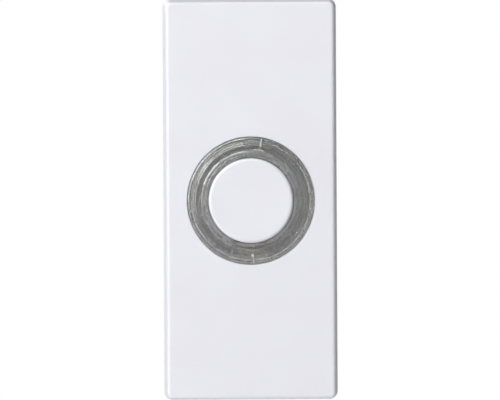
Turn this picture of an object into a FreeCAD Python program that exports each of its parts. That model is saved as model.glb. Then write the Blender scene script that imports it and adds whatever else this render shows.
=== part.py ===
import FreeCAD, Part
import math
import os

import Sketcher
from FreeCAD import Vector

# Doorbell push button, in millimetres.
# The wall is the plane Y = 0 and the push faces -Y, with +Z up and +X to the right of someone facing it.
# A depth is a distance from the wall towards that person, so a point at depth d has Y = -d.

SIZES = {
    # Front cover
    "cover_width": 34.6,
    "cover_height": 80.0,
    "cover_front": 15.0,
    "cover_rear": 0.5,
    "cover_wall": 1.8,
    "cover_draft": 2.2,
    "cover_corner": 1.7,
    "cover_edge_round": 0.7,
    "nib_width": 9.0,
    "nib_reach": 0.5,
    "nib_rise": 1.0,
    "pry_slot_width": 6.0,
    "pry_slot_height": 1.2,
    # Light ring
    "ring_margin": 1.7,
    "ring_band": 4.25,
    "ring_gap": 0.1,
    "ring_flat_drop": 1.0,
    "ridge_count": 2,
    "ridge_margin": 0.5,
    "ridge_pitch": 0.82,
    "ridge_rise": 0.24,
    "ridge_fall": 0.04,
    "ridge_drop": 0.34,
    "ridge_drop_width": 0.17,
    "ridge_foot": 0.3,
    "flange_width": 1.15,
    "flange_thickness": 1.2,
    "sleeve_wall": 1.25,
    "ear_reach": 3.65,
    "ear_radius": 2.2,
    "ear_corner": 1.5,
    # Button
    "button_gap": 0.15,
    "button_front": 16.8,
    "button_travel": 1.8,
    "button_edge_bevel": 0.5,
    "button_wall": 1.3,
    "button_face": 1.5,
    "retainer_width": 1.4,
    "retainer_thickness": 1.0,
    "stem_radius": 1.6,
    "rib_thickness": 0.9,
    "leaf_notch_gap": 0.6,
    # Back plate
    "plate_gap": 0.3,
    "plate_corner": 0.8,
    "floor_thickness": 2.2,
    "deck_height": 0.6,
    "rim_depth": 6.0,
    "rim_wall": 1.4,
    "nib_clearance": 0.3,
    "slot_inset": 4.9,
    "slot_length": 6.5,
    "slot_width": 4.2,
    "cable_radius": 3.0,
    "cable_rise": 0.6,
    "stake_radius": 0.8,
    "stake_head_radius": 1.4,
    "stake_head_height": 0.6,
    "stake_clearance": 0.1,
    # Folded strips, leaf and contacts
    "strip_thickness": 0.45,
    "strip_width": 2.6,
    "strip_room": 1.0,
    "strip_bend": 0.5,
    "strip_margin": 0.4,
    "fold_gap": 5.2,
    "fold_run": 3.0,
    "arm_width": 6.0,
    "arm_overhang": 2.6,
    "arm_stake": 6.5,
    "leaf_thickness": 0.25,
    "leaf_width": 6.0,
    "leaf_root_width": 8.0,
    "leaf_root_height": 4.4,
    "leaf_tip": 2.6,
    "leaf_tip_round": 2.1,
    "leaf_stake": 2.2,
    "contact_radius": 1.6,
    "contact_height": 0.7,
    "shank_radius": 0.9,
    "shank_clearance": 0.05,
    "tail_radius": 1.3,
    "tail_height": 0.4,
    "tail_room": 0.2,
    # Terminals
    "terminal_gap": 6.6,
    "terminal_plate": 6.6,
    "boss_side": 8.0,
    "boss_room": 1.4,
    "nut_side": 5.5,
    "nut_height": 2.4,
    "nut_clearance": 0.1,
    "screw_radius": 1.45,
    "screw_length": 4.5,
    "screw_clearance": 0.25,
    "screw_head_radius": 2.75,
    "screw_head_height": 1.9,
    "screw_slot_width": 0.8,
    "screw_slot_depth": 1.0,
    "screw_tip_room": 0.3,
    "thread_clearance": 0.05,
    "washer_side": 6.2,
    "washer_height": 0.7,
    # Lamp
    "lamp_gap": 0.7,
    "lamp_depth": 8.2,
    "glass_radius": 2.3,
    "glass_wall": 0.4,
    "cap_wall": 0.3,
    "cap_overlap": 1.2,
    "cap_length": 3.2,
    "cap_cone_length": 1.8,
    "cap_seat": 1.55,
    "cap_tip_radius": 0.5,
    "cap_fit": 0.02,
    "clip_width": 4.0,
    "clip_rise": 1.8,
    "clip_inset": 0.65,
    "clip_hole": 0.85,
    "filament_radius": 0.15,
    "filament_half": 3.0,
    "filament_arch": 0.8,
}

doc = FreeCAD.newDocument("DoorbellPush")
sheet = doc.addObject("Spreadsheet::Sheet", "Sizes")
for row, (alias, number) in enumerate(SIZES.items(), start=1):
    sheet.set("A%d" % row, alias)
    sheet.set("B%d" % row, str(number))
    sheet.setAlias("B%d" % row, alias)
doc.recompute()


class Length:
    # A value of the sheet, or one worked out from it, as a number and as the formula that gives it.
    def __init__(self, number, formula=None):
        self.number = float(number)
        self.formula = formula or repr(float(number))

    def joined(self, sign, other, number):
        return Length(number, "(%s %s %s)" % (self.formula, sign, length(other).formula))

    def __add__(self, other):
        return self.joined("+", other, self.number + length(other).number)

    def __sub__(self, other):
        return self.joined("-", other, self.number - length(other).number)

    def __mul__(self, other):
        return self.joined("*", other, self.number * length(other).number)

    def __truediv__(self, other):
        return self.joined("/", other, self.number / length(other).number)

    def __radd__(self, other):
        return length(other) + self

    def __rsub__(self, other):
        return length(other) - self

    def __rmul__(self, other):
        return length(other) * self

    def __neg__(self):
        return Length(-self.number, "(-1 * %s)" % self.formula)


class SheetSizes:
    # Reads a cell by its alias: size.cover_width is the cover's width.
    def __getattr__(self, alias):
        return Length(getattr(sheet, alias), "Sizes." + alias)


size = SheetSizes()


def length(value):
    return value if isinstance(value, Length) else Length(value)


def bind(item, name, value):
    item.setExpression(name, length(value).formula)


# Sketches

def new_body(label):
    body = doc.addObject("PartDesign::Body", "Body_" + label)
    body.Label = label
    return body


def new_sketch(body, role, offset=0):
    plane = next(item for item in body.Origin.OriginFeatures if item.Role == role)
    sketch = body.newObject("Sketcher::SketchObject", "Sketch")
    sketch.AttachmentSupport = [(plane, "")]
    sketch.MapMode = "FlatFace"
    bind(sketch, "AttachmentOffset.Base.z", offset)
    return sketch


def fix_point(sketch, item, end, across, along):
    for kind, axis, value in (("DistanceX", -2, across), ("DistanceY", -1, along)):
        if length(value).number == 0:
            sketch.addConstraint(Sketcher.Constraint("PointOnObject", item, end, axis))
        else:
            place = length(value).number
            rule = sketch.addConstraint(Sketcher.Constraint(kind, -1, 1, item, end, place))
            bind(sketch, "Constraints[%d]" % rule, value)


def draw_outline(sketch, corners):
    # A closed outline. Each corner is (across, along) or (across, along, radius of its round).
    spots = [Vector(length(c[0]).number, length(c[1]).number, 0) for c in corners]
    rounds = [length(c[2]) if len(c) > 2 else None for c in corners]
    starts, ends, arcs = [], [], []
    for index, spot in enumerate(spots):
        before = (spots[index - 1] - spot).normalize()
        after = (spots[(index + 1) % len(spots)] - spot).normalize()
        if rounds[index] is None:
            ends.append(spot)
            starts.append(spot)
            arcs.append(None)
            continue
        half = before.getAngle(after) / 2
        back = rounds[index].number / math.tan(half)
        ends.append(spot + before * back)
        starts.append(spot + after * back)
        centre = spot + (before + after).normalize() * (rounds[index].number / math.sin(half))
        turn = before.cross(after).z
        arcs.append((centre, rounds[index], turn))
    lines = []
    for index in range(len(spots)):
        edge = Part.LineSegment(starts[index], ends[(index + 1) % len(spots)])
        lines.append(sketch.addGeometry(edge, False))
    for index, arc in enumerate(arcs):
        coming, going = lines[index - 1], lines[index]
        across, along = corners[index][0], corners[index][1]
        if arc is None:
            sketch.addConstraint(Sketcher.Constraint("Coincident", coming, 2, going, 1))
            fix_point(sketch, going, 1, across, along)
            continue
        centre, radius, turn = arc
        first, last = (ends[index], starts[index]) if turn < 0 else (starts[index], ends[index])
        angles = [math.atan2(p.y - centre.y, p.x - centre.x) for p in (first, last)]
        circle = Part.Circle(centre, Vector(0, 0, 1), radius.number)
        bend = sketch.addGeometry(Part.ArcOfCircle(circle, angles[0], angles[1]), False)
        coming_end, going_end = (1, 2) if turn < 0 else (2, 1)
        sketch.addConstraint(Sketcher.Constraint("Tangent", coming, 2, bend, coming_end))
        sketch.addConstraint(Sketcher.Constraint("Tangent", going, 1, bend, going_end))
        rule = sketch.addConstraint(Sketcher.Constraint("Radius", bend, radius.number))
        bind(sketch, "Constraints[%d]" % rule, radius)
        corner = sketch.addGeometry(Part.Point(spots[index]), True)
        sketch.addConstraint(Sketcher.Constraint("PointOnObject", corner, 1, coming))
        sketch.addConstraint(Sketcher.Constraint("PointOnObject", corner, 1, going))
        fix_point(sketch, corner, 1, across, along)


def draw_circle(sketch, across, along, radius):
    centre = Vector(length(across).number, length(along).number, 0)
    circle = Part.Circle(centre, Vector(0, 0, 1), length(radius).number)
    item = sketch.addGeometry(circle, False)
    rule = sketch.addConstraint(Sketcher.Constraint("Radius", item, length(radius).number))
    bind(sketch, "Constraints[%d]" % rule, radius)
    fix_point(sketch, item, 3, across, along)


def draw_slot(sketch, along, overall, width):
    # An upright slot with round ends, centred on the middle line.
    radius = (width / 2).number
    reach = overall / 2 - width / 2
    sides, ends = [], []
    for side in (1, -1):
        bottom = Vector(side * radius, (along - side * reach).number, 0)
        top = Vector(side * radius, (along + side * reach).number, 0)
        sides.append(sketch.addGeometry(Part.LineSegment(bottom, top), False))
        fix_point(sketch, sides[-1], 1, side * width / 2, along - side * reach)
        fix_point(sketch, sides[-1], 2, side * width / 2, along + side * reach)
    for side, first in ((1, 0), (-1, math.pi)):
        centre = Vector(0, (along + side * reach).number, 0)
        circle = Part.Circle(centre, Vector(0, 0, 1), radius)
        ends.append(sketch.addGeometry(Part.ArcOfCircle(circle, first, first + math.pi), False))
        rule = sketch.addConstraint(Sketcher.Constraint("DistanceY", -1, 1, ends[-1], 3, centre.y))
        bind(sketch, "Constraints[%d]" % rule, along + side * reach)
    for index in (0, 1):
        sketch.addConstraint(Sketcher.Constraint("Coincident", sides[index], 2, ends[index], 1))
        sketch.addConstraint(Sketcher.Constraint("Coincident", ends[index], 2, sides[1 - index], 1))


def outline(*corners):
    return lambda sketch: draw_outline(sketch, corners)


def rectangle(left, right, bottom, top, radius=None):
    corners = [(left, bottom), (right, bottom), (right, top), (left, top)]
    if radius is not None:
        corners = [corner + (radius,) for corner in corners]
    return outline(*corners)


def span(one_side, other_side, one_end, other_end):
    # A rectangle between two sides and two ends, given in either order
    left, right = sorted((length(one_side), length(other_side)), key=lambda value: value.number)
    bottom, top = sorted((length(one_end), length(other_end)), key=lambda value: value.number)
    return rectangle(left, right, bottom, top)


def circle(across, along, radius):
    return lambda sketch: draw_circle(sketch, across, along, radius)


def slot(along, overall, width):
    return lambda sketch: draw_slot(sketch, along, overall, width)


def draw(sketch, shapes):
    for shape in shapes if isinstance(shapes, list) else [shapes]:
        shape(sketch)


# Features. Each one checks that it changed its body.

def settle(body, feature, volume):
    body.Tip = feature
    doc.recompute()
    if abs(body.Shape.Volume - volume) < 1e-6:
        raise ValueError("%s changes nothing in %s" % (feature.Name, body.Label))
    return feature


def volume_of(body):
    return 0.0 if body.Shape.isNull() else body.Shape.Volume


def pad(body, shapes, back, front, draft=None, role="XZ_Plane"):
    # Material from one depth to another, in front of the wall.
    volume = volume_of(body)
    sketch = new_sketch(body, role, back)
    draw(sketch, shapes)
    feature = body.newObject("PartDesign::Pad", "Pad")
    feature.Profile = sketch
    bind(feature, "Length", front - back)
    if draft is not None:
        bind(feature, "TaperAngle", -draft)
    return settle(body, feature, volume)


def cut(body, shapes, back, front, draft=None, role="XZ_Plane"):
    # An opening from one depth to another. A draft makes it narrower towards the front.
    volume = volume_of(body)
    sketch = new_sketch(body, role, back)
    draw(sketch, shapes)
    feature = body.newObject("PartDesign::Pocket", "Pocket")
    feature.Profile = sketch
    feature.Reversed = True
    bind(feature, "Length", front - back)
    if draft is not None:
        bind(feature, "TaperAngle", -draft)
    return settle(body, feature, volume)


def turned(body, shape, axis="V_Axis"):
    # A solid of revolution about the push's own axis, from a half section in the level plane.
    volume = volume_of(body)
    sketch = new_sketch(body, "XY_Plane")
    shape(sketch)
    feature = body.newObject("PartDesign::Revolution", "Revolution")
    feature.Profile = sketch
    feature.ReferenceAxis = (sketch, [axis])
    feature.Angle = 360
    return settle(body, feature, volume)


def round_edges(body, radius, wanted):
    base = body.Tip
    names = []
    for index, edge in enumerate(base.Shape.Edges, start=1):
        if wanted(edge):
            names.append("Edge%d" % index)
    volume = volume_of(body)
    feature = body.newObject("PartDesign::Fillet", "Fillet")
    feature.Base = (base, names)
    bind(feature, "Radius", radius)
    return settle(body, feature, volume)


def mirror(body, features):
    # A second, separate copy on the other side of the middle plane.
    volume = volume_of(body)
    plane = next(item for item in body.Origin.OriginFeatures if item.Role == "YZ_Plane")
    feature = body.newObject("PartDesign::Mirrored", "Mirrored")
    feature.Originals = features
    feature.MirrorPlane = (plane, [""])
    return settle(body, feature, volume)


def at_depth(edge, depth):
    box = edge.BoundBox
    return abs(box.YMin + depth.number) < 1e-4 and abs(box.YMax + depth.number) < 1e-4


# Places that several pieces share

cover_inside = size.cover_front - size.cover_wall
ring_back = cover_inside - size.flange_thickness
ring_radius = size.cover_width / 2 - size.cover_wall - size.ring_margin - size.flange_width
ring_hole = ring_radius + size.ring_gap
ear_centre = ring_radius + size.ear_reach
button_radius = ring_radius - size.ring_band
sleeve_bore = button_radius + size.button_gap
sleeve_outside = sleeve_bore + size.sleeve_wall

leaf_back = size.rim_depth + size.strip_thickness
leaf_front = leaf_back + size.leaf_thickness
moving_contact = leaf_back - size.contact_height
fixed_contact = moving_contact - size.button_travel
deck_depth = size.floor_thickness + size.deck_height
strip_front = deck_depth + size.strip_thickness
stem_end = leaf_front + size.tail_height
retainer_front = stem_end + size.retainer_thickness
retainer_radius = button_radius + size.retainer_width

plate_half_width = size.cover_width / 2 - size.cover_wall - size.plate_gap
plate_half_height = size.cover_height / 2 - size.cover_wall - size.plate_gap
slot_height = plate_half_height - size.slot_inset
nib_depth = deck_depth + size.nib_clearance

strip_edge = plate_half_width - size.rim_wall - size.strip_room
strip_inner = strip_edge - size.strip_width
fold_top = retainer_radius + size.fold_gap
stake_root = -(fold_top + size.leaf_root_height / 2)
terminal_side = plate_half_width - size.rim_wall - size.boss_room - size.boss_side / 2
terminal_drop = fold_top + size.leaf_root_height + size.terminal_gap
cable_drop = terminal_drop - size.cable_rise

lamp_height = retainer_radius + size.lamp_gap + size.glass_radius
clip_inner = strip_inner + size.clip_inset - size.strip_margin
glass_half = clip_inner - size.cap_seat - size.cap_length + size.cap_overlap


def front_cover():
    body = new_body("front_cover")
    half_width = size.cover_width / 2
    half_height = size.cover_height / 2
    outside = rectangle(-half_width, half_width, -half_height, half_height, size.cover_corner)
    pad(body, outside, size.cover_rear, size.cover_front, size.cover_draft)
    round_edges(body, size.cover_edge_round, lambda edge: at_depth(edge, size.cover_front))
    inner_width = half_width - size.cover_wall
    inner_height = half_height - size.cover_wall
    inside = rectangle(-inner_width, inner_width, -inner_height, inner_height)
    cut(body, inside, size.cover_rear, cover_inside, size.cover_draft)
    cut(body, circle(0, 0, ring_hole), cover_inside, size.cover_front)
    # Stakes that hold the light ring by its ears
    reaches = [-ear_centre, ear_centre]
    pad(body, [circle(0, reach, size.stake_radius) for reach in reaches], ring_back, cover_inside)
    heads = [circle(0, reach, size.stake_head_radius) for reach in reaches]
    pad(body, heads, ring_back - size.stake_head_height, ring_back)
    # Clip nibs on the short walls, each a wedge with its lead-in towards the wall
    nibs = [nib(side, inner_height) for side in (-1, 1)]
    pad(body, nibs, -size.nib_width / 2, size.nib_width / 2, role="YZ_Plane")
    slot_top = size.cover_rear + size.pry_slot_height
    half_slot = size.pry_slot_width / 2
    pry_slot = rectangle(-half_slot, half_slot, -half_height - size.cover_wall, -inner_height)
    cut(body, pry_slot, size.cover_rear, slot_top)
    return body


def nib(side, wall):
    root = side * (wall + size.cover_wall / 2)
    crest = side * (wall - size.nib_reach)
    top = nib_depth + size.nib_rise
    return outline(
        (-nib_depth, root),
        (-nib_depth, side * wall),
        (-(nib_depth + size.nib_rise / 2), crest),
        (-top, crest),
        (-top, root),
    )


def light_ring():
    body = new_body("light_ring")
    flange_radius = ring_radius + size.flange_width
    # Each ridge rises gently inwards to its crest and drops steeply behind it, the last to a lower flat
    flat_depth = size.cover_front - size.ring_flat_drop
    count = int(size.ridge_count.number)
    first_crest = ring_radius - size.ridge_margin
    foot = first_crest - size.ridge_pitch * (count - 1) - size.ridge_foot
    front = [(sleeve_bore, -flat_depth), (foot, -flat_depth)]
    for index in range(count - 1, 0, -1):
        crest = size.cover_front - size.ridge_fall * index
        across = first_crest - size.ridge_pitch * index
        valley = crest + size.ridge_fall - size.ridge_drop
        front.append((across, -crest))
        front.append((across + size.ridge_pitch - size.ridge_drop_width, -valley))
    front.append((first_crest, -size.cover_front))
    front.append((ring_radius, -(size.cover_front - size.ridge_rise)))
    back = [
        (ring_radius, -cover_inside),
        (flange_radius, -cover_inside),
        (flange_radius, -ring_back),
        (sleeve_outside, -ring_back),
        (sleeve_outside, -retainer_front),
        (sleeve_bore, -retainer_front),
    ]
    turned(body, outline(*front, *back))
    # Ears that the cover's stakes pass through
    ears, holes = [], []
    for side in (-1, 1):
        tip = side * (ear_centre + size.ear_radius)
        root = side * ring_radius
        ears.append(span(-size.ear_radius, size.ear_radius, root, tip))
        holes.append(circle(0, side * ear_centre, size.stake_radius + size.stake_clearance))
    pad(body, ears, ring_back, cover_inside)
    cut(body, holes, ring_back, cover_inside)
    ends = (ear_centre + size.ear_radius).number

    def ear_corner(edge):
        box = edge.BoundBox
        upright = box.YLength > 1e-3 and box.XLength < 1e-6 and box.ZLength < 1e-6
        return upright and abs(abs(box.ZMin) - ends) < 1e-4

    round_edges(body, size.ear_corner, ear_corner)
    return body


def button_cap():
    body = new_body("button_cap")
    cavity_radius = button_radius - size.button_wall
    cavity_front = size.button_front - size.button_face
    section = outline(
        (0, -size.button_front),
        (button_radius - size.button_edge_bevel, -size.button_front),
        (button_radius, -(size.button_front - size.button_edge_bevel)),
        (button_radius, -retainer_front),
        (retainer_radius, -retainer_front),
        (retainer_radius, -stem_end),
        (cavity_radius, -stem_end),
        (cavity_radius, -cavity_front),
        (size.stem_radius, -cavity_front),
        (size.stem_radius, -stem_end),
        (0, -stem_end),
    )
    turned(body, section)
    # Cross ribs brace the stem and stay in front of the leaf when it is pressed
    rib_back = leaf_front + size.button_travel + size.leaf_notch_gap
    half_rib = size.rib_thickness / 2
    wall = button_radius - size.button_wall / 2
    stem = size.stem_radius / 2
    ribs = []
    for side in (-1, 1):
        ribs.append(span(side * stem, side * wall, -half_rib, half_rib))
        ribs.append(span(-half_rib, half_rib, side * stem, side * wall))
    pad(body, ribs, rib_back, cavity_front)
    # The skirt's notch straddles the leaf, which also keeps the button from turning
    half_notch = size.leaf_width / 2 + size.leaf_notch_gap
    below = retainer_radius + size.retainer_width
    notch = rectangle(-half_notch, half_notch, -below, -(cavity_radius - size.button_wall))
    cut(body, notch, stem_end, rib_back)
    return body


def back_plate():
    body = new_body("back_plate")
    width, height = plate_half_width, plate_half_height
    corner = size.plate_corner
    pad(body, rectangle(-width, width, -height, height, corner), 0, size.rim_depth)
    inner_width = width - size.rim_wall
    inner_height = height - size.rim_wall
    well = rectangle(-inner_width, inner_width, -inner_height, inner_height, corner)
    cut(body, well, size.floor_thickness, size.rim_depth)
    recesses = [nib_recess(side, inner_height, height) for side in (-1, 1)]
    nib_front = nib_depth + size.nib_rise
    cut(body, recesses, nib_depth - size.nib_clearance, nib_front + size.nib_clearance)
    deck(body)
    posts(body)
    slots = [slot(side * slot_height, size.slot_length, size.slot_width) for side in (-1, 1)]
    cut(body, slots, 0, size.floor_thickness)
    cut(body, circle(0, -cable_drop, size.cable_radius), 0, size.floor_thickness)
    recess = size.tail_radius + size.tail_room
    cut(body, rectangle(-recess, recess, -recess, recess), size.floor_thickness, deck_depth)
    stakes(body)
    return body


def nib_recess(side, inside, outside):
    half = size.nib_width / 2 + size.nib_clearance
    return span(-half, half, side * (inside - size.rim_wall), side * (outside + size.rim_wall))


def deck(body):
    # Low pads that carry the strips clear of the floor
    edge = strip_edge + size.strip_margin
    inner = strip_inner - size.strip_margin
    foot = -(fold_top - size.fold_run)
    head = lamp_height + size.clip_width / 2
    arm = size.arm_width / 2 + size.strip_margin
    sides = [rectangle(-edge, -inner, foot, head), rectangle(inner, edge, foot, head)]
    pad(body, sides, size.floor_thickness, deck_depth)
    across = rectangle(-edge, size.arm_overhang + size.strip_margin, -arm, arm)
    pad(body, across, size.floor_thickness, deck_depth)


def posts(body):
    # Tall blocks for the leaf's root and the two terminals
    edge = strip_edge + size.strip_margin
    root_top = -(fold_top + size.strip_bend)
    root_bottom = -(fold_top + size.leaf_root_height + size.strip_margin)
    half_root = size.leaf_root_width / 2 + size.strip_margin
    shelf = strip_inner - size.strip_margin
    shelves = [
        rectangle(-half_root, edge, root_bottom, root_top),
        rectangle(-edge, -shelf, root_bottom, root_top),
    ]
    pad(body, shelves, size.floor_thickness, size.rim_depth)
    half = size.boss_side / 2
    nut = size.nut_side / 2 + size.nut_clearance
    nut_back = size.rim_depth - size.nut_height
    level = -terminal_drop
    middles = [-terminal_side, terminal_side]
    blocks = [rectangle(m - half, m + half, level - half, level + half) for m in middles]
    pad(body, blocks, size.floor_thickness, size.rim_depth)
    pockets = [rectangle(m - nut, m + nut, level - nut, level + nut) for m in middles]
    cut(body, pockets, nut_back, size.rim_depth)
    # A square relief behind each nut, for the end of its screw
    room = size.screw_radius + size.screw_clearance
    reliefs = [rectangle(m - room, m + room, level - room, level + room) for m in middles]
    screw_tip = leaf_back + size.washer_height - size.screw_length
    cut(body, reliefs, screw_tip - size.screw_tip_room, nut_back)


def stake_places():
    # Each stake as (across, height, depth of its foot, depth of the face that its head holds):
    # two through the leaf's root and one through the contact arm
    return [
        (-size.leaf_stake, stake_root, size.rim_depth, leaf_front),
        (size.leaf_stake, stake_root, size.rim_depth, leaf_front),
        (-size.arm_stake, 0, deck_depth, strip_front),
    ]


def stakes(body):
    # Stakes that clamp the same layers are made together
    layers = {}
    for across, height, foot, face in stake_places():
        layers.setdefault((foot.number, face.number), []).append((across, height, foot, face))
    for group in layers.values():
        foot, face = group[0][2], group[0][3]
        shanks = [circle(across, height, size.stake_radius) for across, height, _, _ in group]
        pad(body, shanks, foot, face)
        heads = [circle(across, height, size.stake_head_radius) for across, height, _, _ in group]
        pad(body, heads, face, face + size.stake_head_height)


def stake_hole(across, height):
    return circle(across, height, size.stake_radius + size.stake_clearance)


def folded_run(body, side):
    # The upright run of a strip: it folds from the terminals' level down to the deck, then up into a clip
    outer = side * strip_edge
    inner = side * strip_inner
    left, right = (outer, inner) if side < 0 else (inner, outer)
    top = -fold_top
    fold_foot = top + size.fold_run
    step = size.strip_bend
    thick = size.strip_thickness
    section = outline(
        (-size.rim_depth, top - step),
        (-leaf_back, top - step),
        (-leaf_back, top, step),
        (-strip_front, fold_foot, step),
        (-strip_front, fold_foot + step * 2),
        (-deck_depth, fold_foot + step * 2),
        (-deck_depth, fold_foot - thick / 2, step),
        (-size.rim_depth, top - thick / 2, step / 2),
    )
    pad(body, section, left, right, role="YZ_Plane")
    clip_bottom = lamp_height - size.clip_width / 2
    pad(body, rectangle(left, right, fold_foot + step, clip_bottom), deck_depth, strip_front)
    clip(body, side, clip_bottom)


def clip(body, side, bottom):
    # The strip's end turns up beside the lamp, with a hole for the lamp's pointed cap
    inner = side * clip_inner
    outer = side * (clip_inner + size.strip_thickness)
    edge = side * strip_edge
    tip = size.lamp_depth + size.clip_rise
    section = outline(
        (edge, -deck_depth),
        (inner, -deck_depth, size.strip_bend + size.strip_thickness),
        (inner, -tip),
        (outer, -tip),
        (outer, -strip_front, size.strip_bend),
        (edge, -strip_front),
    )
    pad(body, section, bottom, bottom + size.clip_width, role="XY_Plane")
    hole = circle(-size.lamp_depth, lamp_height, size.clip_hole)
    left, right = (outer, inner) if side < 0 else (inner, outer)
    cut(body, hole, left, right, role="YZ_Plane")


def contact_strip():
    body = new_body("contact_strip")
    root_top = -fold_top
    plate = size.terminal_plate / 2
    level = -terminal_drop
    middle = -terminal_side
    terminal = outline(
        (middle - plate, level - plate, size.strip_bend),
        (middle + plate, level - plate, size.strip_bend),
        (middle + plate, level + plate, size.strip_bend),
        (-strip_inner, level + plate),
        (-strip_inner, root_top - size.strip_bend),
        (-strip_edge, root_top - size.strip_bend),
        (-strip_edge, level + plate),
        (middle - plate, level + plate),
    )
    pad(body, terminal, size.rim_depth, leaf_back)
    folded_run(body, -1)
    half_arm = size.arm_width / 2
    arm = rectangle(-strip_edge, size.arm_overhang, -half_arm, half_arm)
    pad(body, arm, deck_depth, strip_front)
    rivet_hole = circle(0, 0, size.shank_radius + size.shank_clearance)
    cut(body, [stake_hole(-size.arm_stake, 0), rivet_hole], deck_depth, strip_front)
    cut(body, screw_hole(-1), size.rim_depth, leaf_back)
    return body


def screw_hole(side):
    return circle(side * terminal_side, -terminal_drop, size.screw_radius + size.screw_clearance)


def lamp_strip():
    body = new_body("lamp_strip")
    root_top = -fold_top
    root_bottom = root_top - size.leaf_root_height
    plate = size.terminal_plate / 2
    level = -terminal_drop
    middle = terminal_side
    half_root = size.leaf_root_width / 2
    terminal = outline(
        (middle - plate, level - plate, size.strip_bend),
        (middle + plate, level - plate, size.strip_bend),
        (middle + plate, root_bottom),
        (strip_edge, root_bottom),
        (strip_edge, root_top - size.strip_bend),
        (-half_root, root_top - size.strip_bend),
        (-half_root, root_bottom),
        (middle - plate, root_bottom),
    )
    pad(body, terminal, size.rim_depth, leaf_back)
    folded_run(body, 1)
    upper = [stake_hole(across, stake_root) for across in (-size.leaf_stake, size.leaf_stake)]
    cut(body, upper + [screw_hole(1)], size.rim_depth, leaf_back)
    return body


def contact_leaf():
    body = new_body("contact_leaf")
    half = size.leaf_width / 2
    half_root = size.leaf_root_width / 2
    bottom = -(fold_top + size.leaf_root_height)
    root_top = -(fold_top + size.strip_bend)
    shape = outline(
        (-half_root, bottom),
        (half_root, bottom),
        (half_root, root_top),
        (half, root_top + size.strip_bend * 2),
        (half, size.leaf_tip, size.leaf_tip_round),
        (-half, size.leaf_tip, size.leaf_tip_round),
        (-half, root_top + size.strip_bend * 2),
        (-half_root, root_top),
    )
    pad(body, shape, leaf_back, leaf_front)
    holes = [circle(0, 0, size.shank_radius + size.shank_clearance)]
    holes += [stake_hole(across, stake_root) for across in (-size.leaf_stake, size.leaf_stake)]
    cut(body, holes, leaf_back, leaf_front)
    return body


def rivet(label, head_front, head_back, tail_back, tail_front):
    # A contact rivet: a broad contact head, a shank through the metal and a spread tail
    body = new_body(label)
    section = outline(
        (0, -head_front),
        (size.contact_radius, -head_front),
        (size.contact_radius, -head_back),
        (size.shank_radius, -head_back),
        (size.shank_radius, -tail_back),
        (size.tail_radius, -tail_back),
        (size.tail_radius, -tail_front),
        (0, -tail_front),
    )
    turned(body, section)
    return body


def leaf_rivet():
    return rivet("leaf_rivet", moving_contact, leaf_back, leaf_front, stem_end)


def strip_rivet():
    tail = deck_depth - size.tail_height
    return rivet("strip_rivet", fixed_contact, strip_front, deck_depth, tail)


def terminal_screws():
    # Slotted pan-head screws, one through each terminal
    body = new_body("terminal_screws")
    head_back = leaf_back + size.washer_height
    head_front = head_back + size.screw_head_height
    middle, level = terminal_side, -terminal_drop
    tip = head_back - size.screw_length
    shank = pad(body, circle(middle, level, size.screw_radius), tip, head_back)
    head = pad(body, circle(middle, level, size.screw_head_radius), head_back, head_front)
    half = size.screw_slot_width / 2
    reach = size.screw_head_radius * 2
    groove = rectangle(middle - half, middle + half, level - reach, level + reach)
    driver = cut(body, groove, head_front - size.screw_slot_depth, head_front)
    mirror(body, [shank, head, driver])
    return body


def terminal_washers():
    body = new_body("terminal_washers")
    half = size.washer_side / 2
    middle, level = terminal_side, -terminal_drop
    front = leaf_back + size.washer_height
    plate = pad(body, rectangle(middle - half, middle + half, level - half, level + half), leaf_back, front)
    bore = cut(body, circle(middle, level, size.screw_radius + size.screw_clearance), leaf_back, front)
    mirror(body, [plate, bore])
    return body


def terminal_nuts():
    body = new_body("terminal_nuts")
    half = size.nut_side / 2
    middle, level = terminal_side, -terminal_drop
    back = size.rim_depth - size.nut_height
    block = rectangle(middle - half, middle + half, level - half, level + half)
    plate = pad(body, block, back, size.rim_depth)
    bore = cut(body, circle(middle, level, size.screw_radius + size.thread_clearance), back, size.rim_depth)
    mirror(body, [plate, bore])
    return body


def at_lamp(body):
    # The lamp's pieces are turned about their own X axis, which lies behind the ring
    bind(body, "Placement.Base.y", -size.lamp_depth)
    bind(body, "Placement.Base.z", lamp_height)
    return body


def lamp_tube():
    body = new_body("lamp_tube")
    half = glass_half
    inside = size.glass_radius - size.glass_wall
    turned(body, rectangle(-half, half, inside, size.glass_radius), "H_Axis")
    return at_lamp(body)


def lamp_cap(label, side):
    body = new_body(label)
    bore = size.glass_radius + size.cap_fit
    outside = bore + size.cap_wall
    mouth = glass_half - size.cap_overlap
    seat = glass_half
    shoulder = mouth + size.cap_length
    section = outline(
        (side * mouth, outside),
        (side * mouth, bore),
        (side * seat, bore),
        (side * seat, 0),
        (side * (shoulder + size.cap_cone_length), 0),
        (side * (shoulder + size.cap_cone_length), size.cap_tip_radius),
        (side * shoulder, outside),
    )
    turned(body, section, "H_Axis")
    return at_lamp(body)


def lamp_filament():
    # Two lead wires and the arched filament between them, as one bent wire
    body = new_body("lamp_filament")
    volume = volume_of(body)
    seat = glass_half
    half = size.filament_half
    path = new_sketch(body, "XZ_Plane")
    places = [(-seat, 0), (-half, 0), (0, size.filament_arch), (half, 0), (seat, 0)]
    spots = [Vector(length(x).number, length(y).number, 0) for x, y in places]
    for index in range(len(spots) - 1):
        path.addGeometry(Part.LineSegment(spots[index], spots[index + 1]), False)
        if index:
            path.addConstraint(Sketcher.Constraint("Coincident", index - 1, 2, index, 1))
        fix_point(path, index, 1, *places[index])
    fix_point(path, len(spots) - 2, 2, *places[-1])
    ring = new_sketch(body, "YZ_Plane", -seat)
    draw_circle(ring, 0, 0, size.filament_radius)
    feature = body.newObject("PartDesign::AdditivePipe", "Wire")
    feature.Profile = ring
    feature.Spine = path
    feature.Transition = "Right corner"
    settle(body, feature, volume)
    return at_lamp(body)


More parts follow.
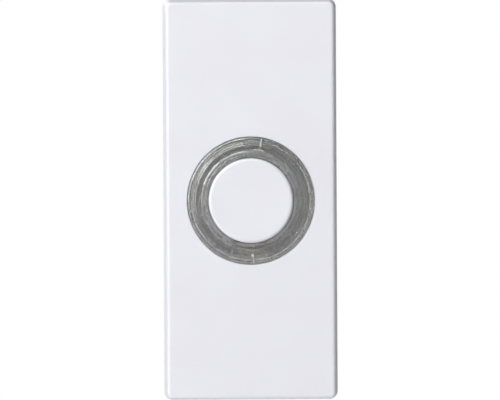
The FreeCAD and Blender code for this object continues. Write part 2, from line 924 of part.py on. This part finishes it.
bodies = [
    back_plate(),
    front_cover(),
    light_ring(),
    button_cap(),
    contact_leaf(),
    leaf_rivet(),
    contact_strip(),
    strip_rivet(),
    lamp_strip(),
    terminal_screws(),
    terminal_washers(),
    terminal_nuts(),
    lamp_tube(),
    lamp_cap("lamp_cap_left", -1),
    lamp_cap("lamp_cap_right", 1),
    lamp_filament(),
]
doc.recompute()

for item in doc.Objects:
    if "Invalid" in item.State or "Error" in item.State:
        raise ValueError("%s is not sound: %s" % (item.Label, item.State))
for body in bodies:
    if body.Shape.isNull() or not body.Shape.isValid():
        raise ValueError("%s has no sound shape" % body.Label)

os.makedirs("parts", exist_ok=True)
for body in bodies:
    body.Shape.exportStep("parts/%s.step" % body.Label)
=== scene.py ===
import math

import bmesh
import bpy
from mathutils import Matrix, Vector


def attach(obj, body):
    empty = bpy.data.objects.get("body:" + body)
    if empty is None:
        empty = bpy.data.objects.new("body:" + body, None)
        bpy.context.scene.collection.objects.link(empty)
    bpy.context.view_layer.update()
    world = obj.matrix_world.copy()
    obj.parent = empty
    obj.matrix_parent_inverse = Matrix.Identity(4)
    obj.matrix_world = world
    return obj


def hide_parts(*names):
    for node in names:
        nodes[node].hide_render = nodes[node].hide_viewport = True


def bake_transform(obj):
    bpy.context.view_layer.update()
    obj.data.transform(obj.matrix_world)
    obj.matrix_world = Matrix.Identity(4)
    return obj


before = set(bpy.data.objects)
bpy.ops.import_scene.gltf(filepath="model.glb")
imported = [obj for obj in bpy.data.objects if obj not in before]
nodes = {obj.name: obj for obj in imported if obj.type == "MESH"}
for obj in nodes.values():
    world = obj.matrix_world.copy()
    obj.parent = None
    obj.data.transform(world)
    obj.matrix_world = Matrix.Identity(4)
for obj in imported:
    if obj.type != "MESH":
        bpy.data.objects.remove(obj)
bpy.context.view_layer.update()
mm = 0.001  # sizes of the pieces are in millimetres, and depths are measured from the wall towards the viewer


# Shader writing

class Link:
    # An output of a node. Arithmetic on it adds Math or Vector Math nodes.
    def __init__(self, shader, socket):
        self.shader = shader
        self.socket = socket

    def combine(self, operation, first, second):
        sockets = [value.socket for value in (first, second) if isinstance(value, Link)]
        isVector = any(socket.type == "VECTOR" for socket in sockets)
        kind = "VectorMath" if isVector else "Math"
        return self.shader.node(kind, {"operation": operation}, {0: first, 1: second})

    def __add__(self, other):
        return self.combine("ADD", self, other)

    def __radd__(self, other):
        return self.combine("ADD", other, self)

    def __sub__(self, other):
        return self.combine("SUBTRACT", self, other)

    def __rsub__(self, other):
        return self.combine("SUBTRACT", other, self)

    def __mul__(self, other):
        return self.combine("MULTIPLY", self, other)

    def __rmul__(self, other):
        return self.combine("MULTIPLY", other, self)

    def __truediv__(self, other):
        return self.combine("DIVIDE", self, other)

    def __pow__(self, other):
        return self.combine("POWER", self, other)


class Shader:
    def __init__(self, name, owner=None):
        self.owner = owner or bpy.data.materials.new(name)
        self.owner.use_nodes = True
        self.tree = self.owner.node_tree
        self.tree.nodes.clear()

    def node(self, kind, settings, inputs, output=0):
        made = self.tree.nodes.new("ShaderNode" + kind)
        for name, value in settings.items():
            setattr(made, name, value)
        for key, value in inputs.items():
            target = made.inputs[key]
            if isinstance(value, Link):
                self.tree.links.new(value.socket, target)
            elif target.type == "VECTOR" and isinstance(value, (int, float)):
                target.default_value = (value, value, value)
            else:
                target.default_value = value
        return Link(self, made.outputs[output])

    def place(self):
        return self.node("TexCoord", {}, {}, "Object")

    def axes(self, vector):
        parts = self.node("SeparateXYZ", {}, {0: vector})
        return [Link(self, socket) for socket in parts.socket.node.outputs]

    def noise(self, vector, scale, detail=2.0, roughness=0.5):
        inputs = {"Vector": vector, "Scale": scale, "Detail": detail, "Roughness": roughness}
        return self.node("TexNoise", {}, inputs)

    def ease(self, value, low, high, toLow=0.0, toHigh=1.0):
        settings = {"interpolation_type": "SMOOTHSTEP"}
        inputs = {"Value": value, "From Min": low, "From Max": high, "To Min": toLow, "To Max": toHigh}
        return self.node("MapRange", settings, inputs)

    def blend(self, factor, first, second):
        return self.node("Mix", {"data_type": "RGBA"}, {0: factor, 6: first, 7: second}, 2)

    def bump(self, height, distance, strength=1.0):
        inputs = {"Height": height, "Distance": distance, "Strength": strength}
        return self.node("Bump", {}, inputs)

    def surface(self, shader):
        isWorld = isinstance(self.owner, bpy.types.World)
        end = self.tree.nodes.new("ShaderNodeOutputWorld" if isWorld else "ShaderNodeOutputMaterial")
        self.tree.links.new(shader.socket, end.inputs["Surface"])
        return self.owner


def rgb(red, green, blue):
    return (red, green, blue, 1.0)


# Materials

def mouldedPlastic(name, look):
    shader = Shader(name)
    place = shader.place()
    grain = shader.noise(place, 1 / (look["grainSize"] * mm), 2.0)
    cloud = shader.ease(shader.noise(place, 1 / (look["cloudSize"] * mm), 3.0), 0.35, 0.65)
    inputs = {
        "Base Color": shader.blend(cloud, rgb(*look["colour"]), rgb(*look["shade"])),
        "Roughness": look["roughness"] + look["roughnessSpread"] * cloud,
        "Normal": shader.bump(grain, look["grainHeight"] * mm),
        "IOR": 1.5,
    }
    return shader.surface(shader.node("BsdfPrincipled", {}, inputs))


def clearPlastic(name, look):
    shader = Shader(name)
    place = shader.place()
    across, depth, height = shader.axes(place)
    radius = (across * across + height * height) ** 0.5
    rings = shader.node("CombineXYZ", {}, {0: radius, 1: depth * 0.3, 2: across * look["streakBreak"]})
    turning = shader.noise(rings, 1 / (look["streakSize"] * mm), 2.0)
    flow = shader.noise(place, 1 / (look["flowSize"] * mm), 2.0)
    relief = turning * look["streakHeight"] + flow * look["flowHeight"]
    inputs = {
        "Base Color": rgb(*look["colour"]),
        "Roughness": look["roughness"] + look["haze"] * shader.ease(flow, 0.4, 0.7),
        "Normal": shader.bump(relief, mm),
        "Transmission Weight": look["transmission"],
        "IOR": look["ior"],
        "Coat Weight": look["gloss"],
        "Coat Roughness": 0.04,
        "Coat IOR": 1.65,
    }
    return shader.surface(shader.node("BsdfPrincipled", {}, inputs))


def rolledMetal(name, look):
    shader = Shader(name)
    place = shader.place()
    drawn = shader.node("Mapping", {}, {"Vector": place, "Scale": look["stretch"]})
    lines = shader.noise(drawn, 1 / (look["lineSize"] * mm), 3.0)
    stain = shader.ease(shader.noise(place, 1 / (look["stainSize"] * mm), 4.0), 0.42, 0.68)
    inputs = {
        "Base Color": shader.blend(stain, rgb(*look["colour"]), rgb(*look["tarnish"])),
        "Metallic": 1.0,
        "Roughness": look["roughness"] + look["roughnessSpread"] * stain + 0.1 * lines,
        "Normal": shader.bump(lines, look["lineHeight"] * mm),
    }
    return shader.surface(shader.node("BsdfPrincipled", {}, inputs))


plastics = {
    "whitePlastic": {
        "colour": (0.80, 0.80, 0.85), "shade": (0.785, 0.785, 0.83),
        "grainSize": 0.35, "grainHeight": 0.004, "cloudSize": 14.0,
        "roughness": 0.46, "roughnessSpread": 0.05,
    },
    "innerPlastic": {
        "colour": (0.80, 0.80, 0.81), "shade": (0.77, 0.77, 0.775),
        "grainSize": 0.5, "grainHeight": 0.008, "cloudSize": 9.0,
        "roughness": 0.48, "roughnessSpread": 0.08,
    },
}

clears = {
    "clearPlastic": {
        "colour": (0.98, 0.98, 0.96), "roughness": 0.23, "haze": 0.07,
        "transmission": 0.96, "ior": 1.49, "gloss": 1.0,
        "streakSize": 0.3, "streakHeight": 0.020, "streakBreak": 0.03, "flowSize": 2.5, "flowHeight": 0.002,
    },
    # near-white plastic that paints the highlights on the ring's front
    "highlightWhite": {
        "colour": (0.93, 0.93, 0.91), "roughness": 0.55, "haze": 0.10,
        "transmission": 0.15, "ior": 1.49, "gloss": 0.3,
        "streakSize": 0.2, "streakHeight": 0.004, "streakBreak": 1.0, "flowSize": 0.6, "flowHeight": 0.01,
    },
    "lampGlass": {
        "colour": (0.95, 0.97, 0.97), "roughness": 0.02, "haze": 0.03,
        "transmission": 1.0, "ior": 1.46, "gloss": 0.0,
        "streakSize": 1.5, "streakHeight": 0.001, "streakBreak": 0.5, "flowSize": 2.0, "flowHeight": 0.004,
    },
}

metals = {
    "stripNickel": {
        "colour": (0.66, 0.65, 0.62), "tarnish": (0.56, 0.54, 0.49), "stretch": (1.0, 1.0, 0.06),
        "lineSize": 0.12, "lineHeight": 0.002, "stainSize": 3.5, "roughness": 0.28, "roughnessSpread": 0.14,
    },
    "springBronze": {
        "colour": (0.58, 0.54, 0.48), "tarnish": (0.50, 0.46, 0.40), "stretch": (1.0, 1.0, 0.05),
        "lineSize": 0.1, "lineHeight": 0.002, "stainSize": 4.0, "roughness": 0.42, "roughnessSpread": 0.12,
    },
    "contactMetal": {
        "colour": (0.80, 0.80, 0.78), "tarnish": (0.66, 0.64, 0.60), "stretch": (1.0, 0.1, 1.0),
        "lineSize": 0.1, "lineHeight": 0.001, "stainSize": 1.2, "roughness": 0.2, "roughnessSpread": 0.15,
    },
    "screwSteel": {
        "colour": (0.68, 0.68, 0.67), "tarnish": (0.55, 0.54, 0.50), "stretch": (1.0, 0.15, 1.0),
        "lineSize": 0.12, "lineHeight": 0.003, "stainSize": 1.5, "roughness": 0.3, "roughnessSpread": 0.12,
    },
    "nutBrass": {
        "colour": (0.76, 0.60, 0.32), "tarnish": (0.60, 0.44, 0.22), "stretch": (1.0, 1.0, 0.1),
        "lineSize": 0.1, "lineHeight": 0.003, "stainSize": 1.5, "roughness": 0.3, "roughnessSpread": 0.12,
    },
    "lampMetal": {
        "colour": (0.78, 0.78, 0.76), "tarnish": (0.62, 0.61, 0.58), "stretch": (0.1, 1.0, 1.0),
        "lineSize": 0.1, "lineHeight": 0.002, "stainSize": 1.5, "roughness": 0.22, "roughnessSpread": 0.14,
    },
    "filamentMetal": {
        "colour": (0.40, 0.40, 0.40), "tarnish": (0.25, 0.25, 0.26), "stretch": (0.1, 1.0, 1.0),
        "lineSize": 0.08, "lineHeight": 0.002, "stainSize": 0.8, "roughness": 0.35, "roughnessSpread": 0.15,
    },
}

finishes = {name: mouldedPlastic(name, look) for name, look in plastics.items()}
finishes.update({name: clearPlastic(name, look) for name, look in clears.items()})
finishes.update({name: rolledMetal(name, look) for name, look in metals.items()})

nodeFinish = {
    "front_cover": "whitePlastic",
    "button_cap": "whitePlastic",
    "back_plate": "innerPlastic",
    "light_ring": "clearPlastic",
    "contact_leaf": "springBronze",
    "leaf_rivet": "contactMetal",
    "strip_rivet": "contactMetal",
    "contact_strip": "stripNickel",
    "lamp_strip": "stripNickel",
    "terminal_screws": "screwSteel",
    "terminal_washers": "screwSteel",
    "terminal_nuts": "nutBrass",
    "lamp_tube": "lampGlass",
    "lamp_cap_left": "lampMetal",
    "lamp_cap_right": "lampMetal",
    "lamp_filament": "filamentMetal",
}
for name, finish in nodeFinish.items():
    for place in nodes[name].material_slots:
        place.material = finishes[finish]
print("materials made:", len(finishes))


# Mesh making

def newPiece(name, mesh, finish, smoothAngle=32):
    mesh.name = name
    for face in mesh.polygons:
        face.use_smooth = True
    mesh.set_sharp_from_angle(angle=math.radians(smoothAngle))
    mesh.materials.clear()
    mesh.materials.append(finishes[finish])
    piece = bpy.data.objects.new(name, mesh)
    bpy.context.scene.collection.objects.link(piece)
    return piece


def roundedLine(corners, arcSteps=5):
    # A closed line through corners, each (radius, depth) or (radius, depth, size of its round)
    line = []
    for index, corner in enumerate(corners):
        spot = Vector(corner[:2])
        if len(corner) < 3:
            line.append(spot)
            continue
        before = (Vector(corners[index - 1][:2]) - spot).normalized()
        after = (Vector(corners[(index + 1) % len(corners)][:2]) - spot).normalized()
        half = before.angle(after) / 2
        centre = spot + (before + after).normalized() * (corner[2] / math.sin(half))
        start = (spot + before * (corner[2] / math.tan(half)) - centre).normalized()
        end = (spot + after * (corner[2] / math.tan(half)) - centre).normalized()
        for step in range(arcSteps + 1):
            line.append(centre + start.slerp(end, step / arcSteps) * corner[2])
    return line


def lathe(name, corners, finish, segments=160):
    # Turns a closed section of (radius, depth) in millimetres about the push axis
    mesh = bpy.data.meshes.new(name)
    work = bmesh.new()
    rings = []
    for spot in roundedLine(corners):
        ring = []
        for step in range(segments):
            angle = 2 * math.pi * step / segments
            across, height = spot.x * math.cos(angle), spot.x * math.sin(angle)
            ring.append(work.verts.new((across * mm, -spot.y * mm, height * mm)))
        rings.append(ring)
    for index, ring in enumerate(rings):
        other = rings[(index + 1) % len(rings)]
        for step in range(segments):
            after = (step + 1) % segments
            work.faces.new((ring[step], ring[after], other[after], other[step]))
    bmesh.ops.remove_doubles(work, verts=work.verts, dist=1e-7)
    bmesh.ops.recalc_face_normals(work, faces=work.faces)
    work.to_mesh(mesh)
    work.free()
    return newPiece(name, mesh, finish)


def plate(outlines, back, front, edgeRound=0.0):
    # A flat sheet with holes: closed outlines of (across, height), and two depths
    curve = bpy.data.curves.new("plate", "CURVE")
    curve.dimensions = "2D"
    curve.fill_mode = "BOTH"
    curve.extrude = (front - back) / 2 * mm - edgeRound * mm
    curve.bevel_depth = edgeRound * mm
    curve.bevel_resolution = 2
    for outline in outlines:
        spline = curve.splines.new("POLY")
        spline.points.add(len(outline) - 1)
        for point, (across, height) in zip(spline.points, outline):
            point.co = (across * mm, height * mm, 0, 1)
        spline.use_cyclic_u = True
    holder = bpy.data.objects.new("plate", curve)
    bpy.context.scene.collection.objects.link(holder)
    bpy.context.view_layer.update()
    mesh = bpy.data.meshes.new_from_object(holder.evaluated_get(bpy.context.evaluated_depsgraph_get()))
    bpy.data.objects.remove(holder)
    bpy.data.curves.remove(curve)
    turn = Matrix.Rotation(math.radians(90), 4, "X")
    mesh.transform(Matrix.Translation((0, -(front + back) / 2 * mm, 0)) @ turn)
    return mesh


def circleLine(across, height, radius, steps=40):
    spots = []
    for step in range(steps):
        angle = 2 * math.pi * step / steps
        spots.append((across + radius * math.cos(angle), height + radius * math.sin(angle)))
    return spots


def combine(piece, mesh, operation, splitFaces=False):
    # Joins a closed mesh to the piece or cuts it away, and clears the slivers that leaves
    other = bpy.data.objects.new("other", mesh)
    bpy.context.scene.collection.objects.link(other)
    change = piece.modifiers.new("combine", "BOOLEAN")
    change.operation = operation
    change.solver = "EXACT"
    change.object = other
    bpy.context.view_layer.update()
    made = bpy.data.meshes.new_from_object(piece.evaluated_get(bpy.context.evaluated_depsgraph_get()))
    bpy.data.objects.remove(other)
    piece.modifiers.clear()
    work = bmesh.new()
    work.from_mesh(made)
    bmesh.ops.remove_doubles(work, verts=work.verts, dist=0.003 * mm)
    bmesh.ops.dissolve_degenerate(work, edges=work.edges, dist=0.001 * mm)
    if splitFaces:
        bmesh.ops.triangulate(work, faces=[face for face in work.faces if len(face.verts) > 4])
        bmesh.ops.dissolve_degenerate(work, edges=work.edges, dist=0.001 * mm)
    work.to_mesh(made)
    work.free()
    piece.data = made
    piece.data.set_sharp_from_angle(angle=math.radians(32))


# Light ring

ringSizes = {
    "radius": 12.65, "front": 15.0,
    "ridges": [
        {"crest": 12.21, "foot": 12.01, "rise": 0.135, "fall": 0.31, "bends": [(0.22, 0.22), (0.78, 0.78)]},
        {"crest": 11.27, "foot": 11.14, "rise": 0.31, "fall": 0.18, "bends": [(0.12, 0.09), (0.46, 0.38), (0.51, 0.35), (0.56, 0.48), (0.86, 0.84)]},
        {"crest": 10.91, "foot": 10.76, "rise": 0.11, "fall": 0.92, "bends": [(0.22, 0.22), (0.78, 0.78)]},
    ],
    "rim": 0.15, "crestRound": 0.06, "valleyRound": 0.04, "edgeRound": 0.05,
    "lines": [10.56, 10.18], "lineWidth": 0.24, "lineDepth": 0.07,
    "lipLines": [9.20],
    "lip": 9.80, "lipSlope": 0.11, "lipRise": 0.11, "lipRound": 0.05, "boreRound": 0.14,
    "groovePitch": 0.5, "grooves": 3, "grooveDepth": 0.25,
    "flangeRadius": 13.8, "flangeFront": 13.2, "flangeBack": 12.0,
    "bore": 8.55, "sleeve": 9.8, "back": 8.12, "earCentre": 16.3, "earHalf": 2.2, "earHole": 0.9, "earSunk": 0.7, "earStep": 0.05,
}


def ringFront(s):
    # From the outer edge each ridge rises gently inwards to its crest and drops steeply behind it
    depth = s["front"] - s["ridges"][0]["rise"]
    front = [(s["radius"], depth, s["edgeRound"]), (s["radius"] - s["rim"], depth)]
    for ridge in s["ridges"]:
        start = front[-1][0]
        for along, up in ridge["bends"]:  # shares of the slope's run and rise
            front.append((start + (ridge["crest"] - start) * along, depth + ridge["rise"] * up))
        front.append((ridge["crest"], depth + ridge["rise"], s["crestRound"]))
        depth += ridge["rise"] - ridge["fall"]
        front.append((ridge["foot"], depth, s["valleyRound"]))
    # Fine turned lines on the flat, then on a low lip round the button
    front += turnedLines(s, s["lines"], depth)
    front.append((s["lip"] + s["lipSlope"], depth, 0.03))
    depth += s["lipRise"]
    front.append((s["lip"] - s["lipSlope"], depth, s["lipRound"]))
    front += turnedLines(s, s["lipLines"], depth)
    front.append((s["bore"], depth, s["boreRound"]))
    return front


def lightRing(s):
    section = list(reversed(ringFront(s)))
    section += [
        (s["radius"], s["flangeFront"]),
        (s["flangeRadius"], s["flangeFront"]),
        (s["flangeRadius"], s["flangeBack"]),
    ]
    for index in range(s["grooves"]):
        radius = s["radius"] - 0.2 - index * s["groovePitch"]
        section.append((radius, s["flangeBack"]))
        section.append((radius - s["groovePitch"] / 2, s["flangeBack"] + s["grooveDepth"]))
    section += [
        (s["sleeve"], s["flangeBack"], 0.12),
        (s["sleeve"], s["back"], 0.12),
        (s["bore"], s["back"], 0.12),
    ]
    ring = lathe("lightRing", section, "clearPlastic")
    for side in (-1, 1):
        combine(ring, ear(s, side), "UNION", splitFaces=True)
    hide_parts("light_ring")
    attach(ring, "housing")
    return ring


def turnedLines(s, places, depth):
    width, line = s["lineWidth"], []
    for radius in places:
        line.append((radius + width / 2, depth))
        line.append((radius, depth - s["lineDepth"]))
        line.append((radius - width / 2, depth))
    return line


def ear(s, side):
    half, centre = s["earHalf"], s["earCentre"]
    root = s["flangeRadius"] - s["earSunk"]
    outline = [(-half, side * root), (half, side * root)]
    tip = centre + half
    corner = half * 0.68
    for step in range(7):
        angle = math.pi / 2 * step / 6
        outline.append((half - corner + corner * math.cos(angle), side * (tip - corner + corner * math.sin(angle))))
    for step in range(7):
        angle = math.pi / 2 * (1 + step / 6)
        outline.append((corner - half + corner * math.cos(angle), side * (tip - corner + corner * math.sin(angle))))
    hole = circleLine(0, side * centre, s["earHole"])
    return plate([outline, hole], s["flangeBack"] + s["earStep"], s["flangeFront"] - s["earStep"])


# where white highlights are painted on the ring's front: strips, a short arc and two dots
highlightSizes = {
    "lines": [
        {"angle": 80.0, "inner": 10.3, "outer": 12.45, "width": 0.2},
        {"angle": 272.3, "inner": 9.9, "outer": 12.4, "width": 0.08},
        {"angle": 249.5, "inner": 10.2, "outer": 11.2, "width": 0.14},
    ],
    "arcs": [{"from": 75.0, "to": 87.0, "radius": 10.12, "width": 0.16}],
    "glintDots": [{"angle": 271.3, "radius": 10.92, "size": 0.24}, {"angle": 318.0, "radius": 10.25, "size": 0.17}],
    "rise": 0.02, "depth": 0.08, "steps": 24,
}


def paintedHighlights(s, ring):
    # Painted highlights on the front of the ring: faint white strips across the ridges, a short arc and two dots,
    # laid where the ring catches the light
    front = roundedLine(ringFront(ring))[::-1]
    strips = []
    for line in s["lines"]:
        angle = math.radians(line["angle"])
        way = Vector((math.cos(angle), math.sin(angle)))
        side = Vector((-way.y, way.x)) * line["width"] / 2
        strip = []
        for step in range(s["steps"] + 1):
            radius = line["inner"] + (line["outer"] - line["inner"]) * step / s["steps"]
            strip.append((way * radius - side, way * radius + side))
        strips.append(strip)
    for arc in s["arcs"]:
        strip = []
        for step in range(s["steps"] + 1):
            angle = math.radians(arc["from"] + (arc["to"] - arc["from"]) * step / s["steps"])
            way = Vector((math.cos(angle), math.sin(angle)))
            strip.append((way * (arc["radius"] - arc["width"] / 2), way * (arc["radius"] + arc["width"] / 2)))
        strips.append(strip)
    for glint in s["glintDots"]:
        angle = math.radians(glint["angle"])
        centre = Vector((math.cos(angle), math.sin(angle))) * glint["radius"]
        strip = []
        for step in range(1, 8):
            turn = math.pi * step / 8
            across = math.cos(turn) * glint["size"]
            half = math.sin(turn) * glint["size"]
            strip.append((centre + Vector((across, -half)), centre + Vector((across, half))))
        strips.append(strip)
    work = bmesh.new()
    for strip in strips:
        sections = []
        for left, right in strip:
            top = max(surfaceAt(front, left.length), surfaceAt(front, right.length)) + s["rise"]
            low = top - s["depth"]
            corners = [(left, top), (right, top), (right, low), (left, low)]
            sections.append([work.verts.new((spot.x * mm, -depth * mm, spot.y * mm)) for spot, depth in corners])
        for first, second in zip(sections, sections[1:]):
            for index in range(4):
                after = (index + 1) % 4
                work.faces.new((first[index], first[after], second[after], second[index]))
        work.faces.new(sections[0])
        work.faces.new(list(reversed(sections[-1])))
    bmesh.ops.recalc_face_normals(work, faces=work.faces)
    mesh = bpy.data.meshes.new("paintedHighlights")
    work.to_mesh(mesh)
    work.free()
    # the painted highlights are white bodies standing just proud of the ring's front
    highlightPiece = newPiece("paintedHighlights", mesh, "highlightWhite")
    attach(highlightPiece, "housing")
    return highlightPiece


def surfaceAt(line, radius):
    for first, second in zip(line, line[1:]):
        low, high = sorted((first, second), key=lambda spot: spot.x)
        if low.x <= radius <= high.x and high.x > low.x:
            return low.y + (high.y - low.y) * (radius - low.x) / (high.x - low.x)
    return line[0].y


lightRing(ringSizes)
paintedHighlights(highlightSizes, ringSizes)
print("light ring made")


# Button

buttonSizes = {
    "radius": 8.4, "front": 16.8, "edgeRound": 0.6, "dish": 0.12, "dishRadius": 7.6, "wall": 1.3, "face": 1.5,
    "retainerRadius": 9.8, "retainerFront": 8.1, "back": 7.1, "stem": 1.6,
    "rib": 0.9, "ribBack": 9.1, "ribSunk": 0.2, "notchHalf": 3.6, "notchFrom": 5.9,
}


def buttonCap(s):
    cavity = s["radius"] - s["wall"]
    roof = s["front"] - s["face"]
    section = []
    for step in range(9):  # the face is very slightly hollow
        share = step / 8
        section.append((s["dishRadius"] * share, s["front"] - s["dish"] * (1 - share ** 2)))
    section += [
        (s["radius"], s["front"], s["edgeRound"]),
        (s["radius"], s["retainerFront"], 0.1),
        (s["retainerRadius"], s["retainerFront"], 0.15),
        (s["retainerRadius"], s["back"], 0.15),
        (cavity, s["back"], 0.15),
        (cavity, roof, 0.3),
        (s["stem"], roof, 0.3),
        (s["stem"], s["back"], 0.1),
        (0, s["back"]),
    ]
    cap = lathe("buttonCap", section, "whitePlastic")
    half = s["rib"] / 2
    inner, outer = s["stem"] * 0.8, s["radius"] - s["wall"] * 0.6
    ribs = bmesh.new()
    for quarter in range(4):
        outline = [(inner, -half), (outer, -half), (outer, half), (inner, half)]
        rib = plate([outline], s["ribBack"], roof + s["ribSunk"])
        rib.transform(Matrix.Rotation(math.pi / 2 * quarter, 4, "Y"))
        ribs.from_mesh(rib)
    ribMesh = bpy.data.meshes.new("ribs")
    ribs.to_mesh(ribMesh)
    ribs.free()
    combine(cap, ribMesh, "UNION")
    across, low, high = s["notchHalf"], -s["retainerRadius"] - 2, -s["notchFrom"]
    outline = [(-across, low), (across, low), (across, high), (-across, high)]
    combine(cap, plate([outline], s["back"] - 1, s["ribBack"]), "DIFFERENCE")
    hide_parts("button_cap")
    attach(cap, "button")
    return cap


buttonCap(buttonSizes)
print("button made")


# Contact leaf

leafSizes = {
    "back": 6.45, "front": 6.7, "bottom": -19.4, "rootTop": -15.5, "tip": 2.6,
    "rootHalf": 4.0, "half": 3.0, "tipRound": 2.1, "lengthSteps": 60,
}


def contactLeaf(s):
    # A strip in cross sections from its root to its rounded tip
    mesh = bpy.data.meshes.new("contactLeaf")
    work = bmesh.new()
    sections = []
    for step in range(s["lengthSteps"] + 1):
        height = s["bottom"] + (s["tip"] - s["bottom"]) * step / s["lengthSteps"]
        half = leafHalf(s, height)
        corners = [(-half, s["back"]), (half, s["back"]), (half, s["front"]), (-half, s["front"])]
        sections.append([work.verts.new((x * mm, -d * mm, height * mm)) for x, d in corners])
    for first, second in zip(sections, sections[1:]):
        for index in range(4):
            after = (index + 1) % 4
            work.faces.new((first[index], first[after], second[after], second[index]))
    work.faces.new(sections[0])
    work.faces.new(list(reversed(sections[-1])))
    bmesh.ops.recalc_face_normals(work, faces=work.faces)
    work.to_mesh(mesh)
    work.free()
    leaf = newPiece("contactLeaf", mesh, "springBronze")
    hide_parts("contact_leaf")
    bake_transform(leaf)
    return leaf


def leafHalf(s, height):
    if height < s["rootTop"]:
        return s["rootHalf"]
    neck = min(1.0, (height - s["rootTop"]) / 1.0)
    half = s["rootHalf"] + (s["half"] - s["rootHalf"]) * neck
    over = height - (s["tip"] - s["tipRound"])
    if over > 0:
        half -= s["tipRound"] - math.sqrt(max(0.0, s["tipRound"] ** 2 - over ** 2))
    return half


contactLeaf(leafSizes)
print("contact leaf made")


# Stage, lamps and camera

stageSizes = {"floorDrop": 0.15, "floorHalf": 6.0, "whiteNear": 0.45, "whiteFrom": 0.15, "whiteTo": 0.9}
floorTone = (0.90, 0.90, 0.91)
ambient = 0.13
glossyShare = 0.20  # how much of the white background shows in reflections


def whiteRays(shader):
    # One for rays that see the background itself or through clear plastic, less for those that a surface reflects
    rays = shader.node("LightPath", {}, {}, "Is Camera Ray").socket.node.outputs
    names = ("Is Camera Ray", "Is Transmission Ray", "Is Glossy Ray")
    direct, through, mirrored = [Link(shader, rays[name]) for name in names]
    return shader.node("Clamp", {}, {0: direct + through + glossyShare * mirrored})


def makeFloor(s):
    mesh = bpy.data.meshes.new("floor")
    half = s["floorHalf"]
    corners = [(-half, -half), (half, -half), (half, half), (-half, half)]
    mesh.from_pydata([(x, y, -s["floorDrop"]) for x, y in corners], [], [(0, 1, 2, 3)])
    floor = bpy.data.objects.new("floor", mesh)
    bpy.context.scene.collection.objects.link(floor)
    shader = Shader("paleFloor")
    place = shader.place()
    across, along, height = shader.axes(place)
    far = shader.ease((across * across + along * along) ** 0.5, s["whiteFrom"], s["whiteTo"], s["whiteNear"])
    paper = shader.noise(place, 180.0, 2.0)
    tone = shader.blend(paper, rgb(*floorTone), rgb(*[part * 0.985 for part in floorTone]))
    card = shader.node("BsdfPrincipled", {}, {"Base Color": tone, "Roughness": 0.85})
    glow = shader.node("Emission", {}, {"Color": rgb(1, 1, 1), "Strength": 1.0})
    mixed = shader.node("MixShader", {}, {0: whiteRays(shader) * far, 1: card, 2: glow})
    mesh.materials.append(shader.surface(mixed))


def makeWorld():
    world = bpy.data.worlds.new("studio")
    bpy.context.scene.world = world
    shader = Shader("studio", world)
    strength = ambient + (1.0 - ambient) * whiteRays(shader)
    shader.surface(shader.node("Background", {}, {"Color": rgb(1, 1, 1), "Strength": strength}))


lamps = {
    "key": {"place": (-0.80, -0.78, 0.54), "size": 0.55, "level": 0.27},
    "top": {"place": (-0.36, -0.78, 0.89), "size": 0.55, "level": 0.165},
    "crown": {"place": (0.03, -0.78, 0.96), "size": 0.55, "level": 0.045},
    "left": {"place": (-0.96, -0.78, 0.09), "size": 0.55, "level": 0.105},
    "over": {"place": (-0.20, -0.28, 1.30), "size": 0.70, "level": 0.025},
    "fill": {"place": (0.45, -1.00, 0.10), "size": 0.80, "level": 0.03},
    "rear": {"place": (-0.70, 1.00, 0.60), "size": 0.40, "level": 0.22},
}


def makeLamps():
    target = Vector((0, -0.015, 0))
    for name, lamp in lamps.items():
        data = bpy.data.lights.new(name, "AREA")
        data.shape = "DISK"
        data.size = lamp["size"]
        place = Vector(lamp["place"])
        away = place - target
        facing = abs(away.normalized().y)
        data.energy = lamp["level"] * math.pi ** 2 * away.length_squared / facing  # lights the face, or the back, to that level
        light = bpy.data.objects.new(name, data)
        light.location = place
        light.rotation_euler = (-away).to_track_quat("-Z", "Y").to_euler()
        bpy.context.scene.collection.objects.link(light)


cameraView = {
    "distance": 2.4, "azimuth": -0.6, "elevation": 1.1, "roll": -0.3,
    "pixel": 0.1987, "frameWidth": 500, "aim": (-0.00014, -0.012, 0.00006),
}


def makeCamera(s):
    data = bpy.data.cameras.new("camera")
    data.sensor_width = 36.0
    data.lens = data.sensor_width * s["distance"] / (s["pixel"] * mm * s["frameWidth"])
    data.clip_start = 0.01
    data.dof.use_dof = False
    camera = bpy.data.objects.new("camera", data)
    bpy.context.scene.collection.objects.link(camera)
    side, rise = math.radians(s["azimuth"]), math.radians(s["elevation"])
    away = Vector((math.sin(side) * math.cos(rise), -math.cos(side) * math.cos(rise), math.sin(rise)))
    aim = Vector(s["aim"])
    turn = (-away).to_track_quat("-Z", "Y").to_matrix().to_4x4()
    roll = Matrix.Rotation(math.radians(s["roll"]), 4, "Z")
    camera.matrix_world = Matrix.Translation(aim + away * s["distance"]) @ turn @ roll
    bpy.context.scene.camera = camera


makeFloor(stageSizes)
makeWorld()
makeLamps()
makeCamera(cameraView)
bpy.context.scene.view_settings.view_transform = "Standard"
print("stage, lamps and camera made")
